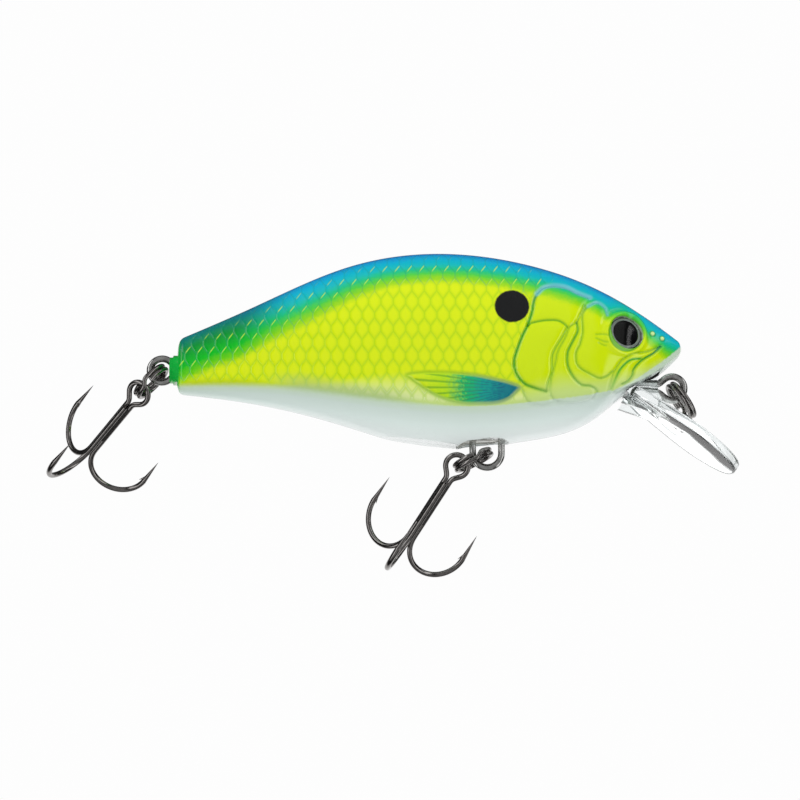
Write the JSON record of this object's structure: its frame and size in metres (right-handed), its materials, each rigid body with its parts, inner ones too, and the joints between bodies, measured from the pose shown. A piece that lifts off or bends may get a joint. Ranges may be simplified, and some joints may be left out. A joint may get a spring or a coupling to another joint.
{
  "type": "crankbait lure",
  "caption": "Hollow fish-shaped diving lure: glued body shells, a clear diving lip, wire hangers, split rings, swinging treble hooks, and a ballast and rattle balls inside.",
  "frame": {"origin": "centre of the wire eye at the chin that the line is tied to", "axes": "+X out of the nose, +Y out of the fish's left side, +Z out of the back; y = 0 is the glue plane"},
  "size_m": [0.0941, 0.0201, 0.0437],
  "materials": {
    "painted_abs": "moulded ABS, airbrushed blue over green over yellow with a pearl belly, under a gloss clear coat",
    "clear_polycarbonate": "clear moulded polycarbonate, polished",
    "stainless_wire": "bright drawn wire",
    "black_nickel_ring": "black nickel plate",
    "black_nickel_hook": "black nickel plate",
    "braze_metal": "plated braze, dull",
    "printed_foil": "silver foil iris with a black pupil",
    "clear_resin": "clear domed resin",
    "ballast_steel": "turned bar",
    "ball_steel": "ground and polished"
  },
  "bodies": {
    "body": {"left_body_shell": "painted_abs", "right_body_shell": "painted_abs", "diving_lip": "clear_polycarbonate", "line_tie_wire": "stainless_wire", "belly_hook_hanger": "stainless_wire", "tail_hook_hanger": "stainless_wire", "left_eye_disc": "printed_foil", "right_eye_disc": "printed_foil", "left_eye_lens": "clear_resin", "right_eye_lens": "clear_resin", "belly_ballast": "ballast_steel"},
    "line_ring": {"line_tie_split_ring": "black_nickel_ring"},
    "belly_ring": {"belly_split_ring": "black_nickel_ring"},
    "belly_treble": {"belly_double_hook": "black_nickel_hook", "belly_single_hook": "black_nickel_hook", "belly_hook_braze": "braze_metal"},
    "tail_ring": {"tail_split_ring": "black_nickel_ring"},
    "tail_treble": {"tail_double_hook": "black_nickel_hook", "tail_single_hook": "black_nickel_hook", "tail_hook_braze": "braze_metal"},
    "knocker": {"knocker_ball": "ball_steel"},
    "left_rattle": {"left_rattle_ball": "ball_steel"},
    "middle_rattle": {"middle_rattle_ball": "ball_steel"},
    "right_rattle": {"right_rattle_ball": "ball_steel"}
  },
  "joints": [
    {"name": "line_ring_swing", "type": "hinge", "parent": "body", "child": "line_ring", "pos_m": [0, 0, 0], "axis": [0, 1, 0], "range_deg": [-108, 8]},
    {"name": "belly_ring_swing", "type": "hinge", "parent": "body", "child": "belly_ring", "pos_m": [-0.0253, 0, -0.009], "axis": [0, 1, 0], "range_deg": [-95, 2]},
    {"name": "belly_treble_swing", "type": "hinge", "parent": "belly_ring", "child": "belly_treble", "pos_m": [-0.0272, 0, -0.00989], "axis": [0.4226, 0, -0.9063], "range_deg": [-45, 15]},
    {"name": "tail_ring_swing", "type": "hinge", "parent": "body", "child": "tail_ring", "pos_m": [-0.0696, 0, 0.0025], "axis": [0, 1, 0], "range_deg": [-45, 90]},
    {"name": "tail_treble_swing", "type": "hinge", "parent": "tail_ring", "child": "tail_treble", "pos_m": [-0.07106, 0, 0.00099], "axis": [0.7193, 0, -0.6947], "range_deg": [-60, 15]},
    {"name": "knocker_ball_slide", "type": "slide", "parent": "body", "child": "knocker", "axis": [1, 0, 0], "range_m": [-0.0053, 0.0053]},
    {"name": "middle_rattle_ball_slide", "type": "slide", "parent": "body", "child": "middle_rattle", "axis": [0, 1, 0], "range_m": [-0.0012, 0.0012]},
    {"name": "left_rattle_ball_slide", "type": "slide", "parent": "body", "child": "left_rattle", "axis": [0, 1, 0], "range_m": [-0.00121, 0.00121]},
    {"name": "right_rattle_ball_slide", "type": "slide", "parent": "body", "child": "right_rattle", "axis": [0, 1, 0], "range_m": [-0.00121, 0.00121]}
  ],
  "couplings": [
    {"joint": "left_rattle_ball_slide", "follows": "middle_rattle_ball_slide", "ratio": 1},
    {"joint": "right_rattle_ball_slide", "follows": "middle_rattle_ball_slide", "ratio": 1}
  ]
}
